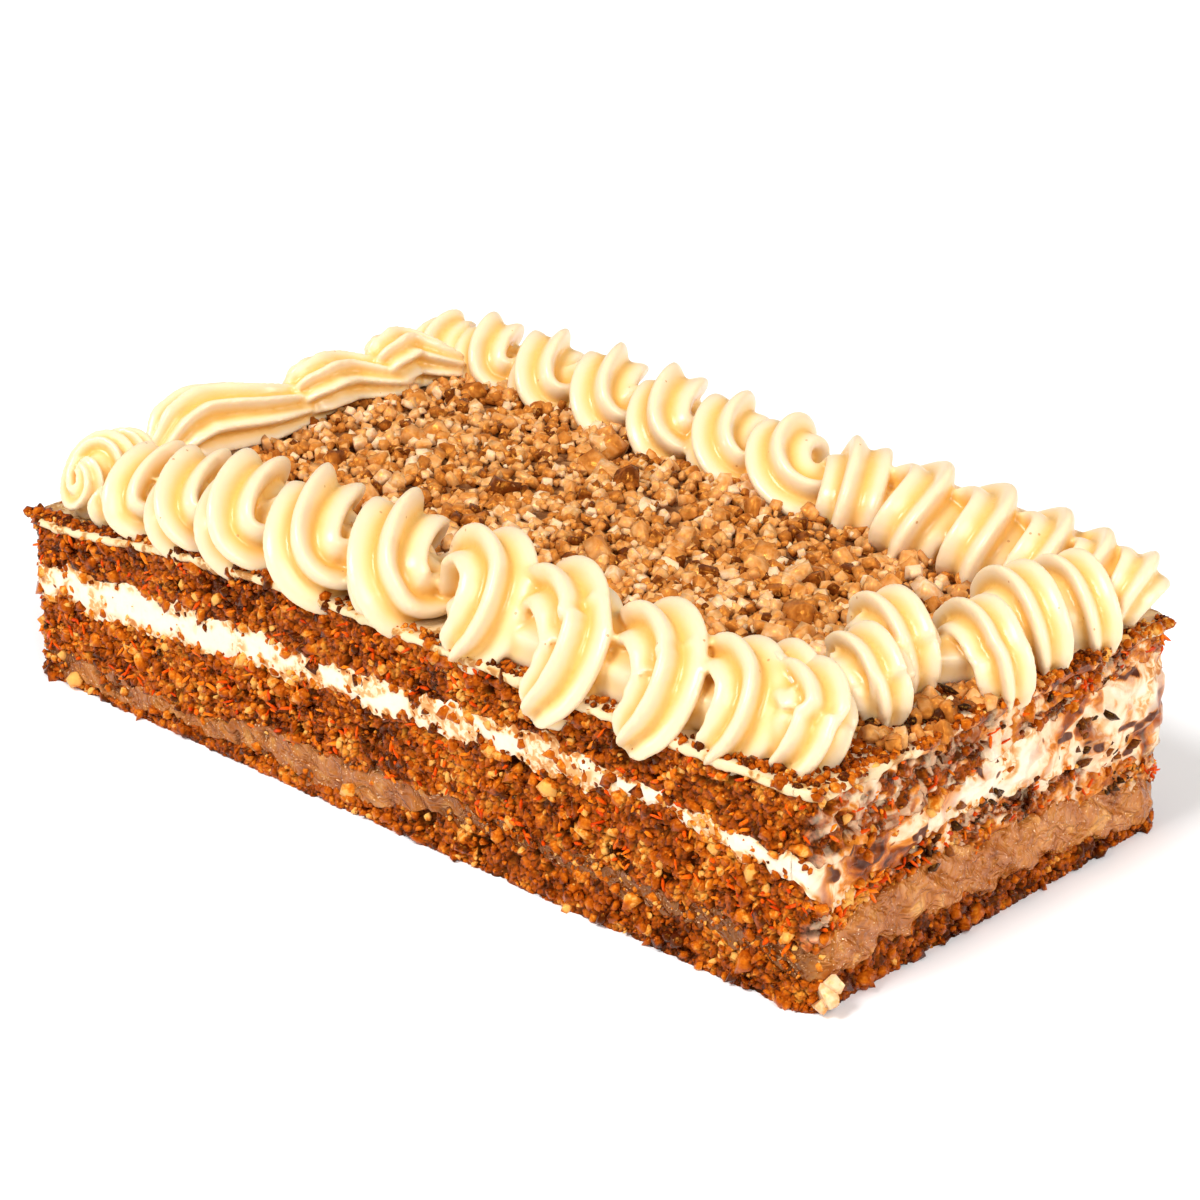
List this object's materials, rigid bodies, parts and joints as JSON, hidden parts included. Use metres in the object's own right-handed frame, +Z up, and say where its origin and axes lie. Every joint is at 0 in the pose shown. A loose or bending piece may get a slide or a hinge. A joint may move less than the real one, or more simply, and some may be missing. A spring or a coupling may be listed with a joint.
{
  "type": "carrot cake",
  "caption": "Rectangular carrot cake with crumbly sponge layers, cream and caramel fillings, a chopped walnut top and a piped cream border.",
  "frame": {"origin": "centre of the cake's bounding box, at the level it stands on", "axes": "+X along the long side, +Y from the front long side to the back long side, +Z up"},
  "size_m": [0.303, 0.177, 0.0905],
  "materials": {
    "sponge": "matte, crumbly, moist sponge with golden crumbs",
    "caramel": "glossy soft milk caramel",
    "cream": "satin cream cheese filling with crumbs",
    "icing": "satin thin icing",
    "walnuts": "chopped walnuts, lightly syruped",
    "piped_cream": "satin pale yellow piped cream"
  },
  "bodies": {
    "root": {"bottom_sponge": "sponge", "caramel_filling": "caramel", "middle_sponge": "sponge", "cream_filling": "cream", "top_sponge": "sponge", "top_icing": "icing", "walnut_topping": "walnuts", "piping_front": "piped_cream", "piping_back": "piped_cream", "piping_right": "piped_cream", "piping_curls": "piped_cream", "piping_left_1": "piped_cream", "piping_left_2": "piped_cream", "piping_left_3": "piped_cream"}
  },
  "joints": []
}
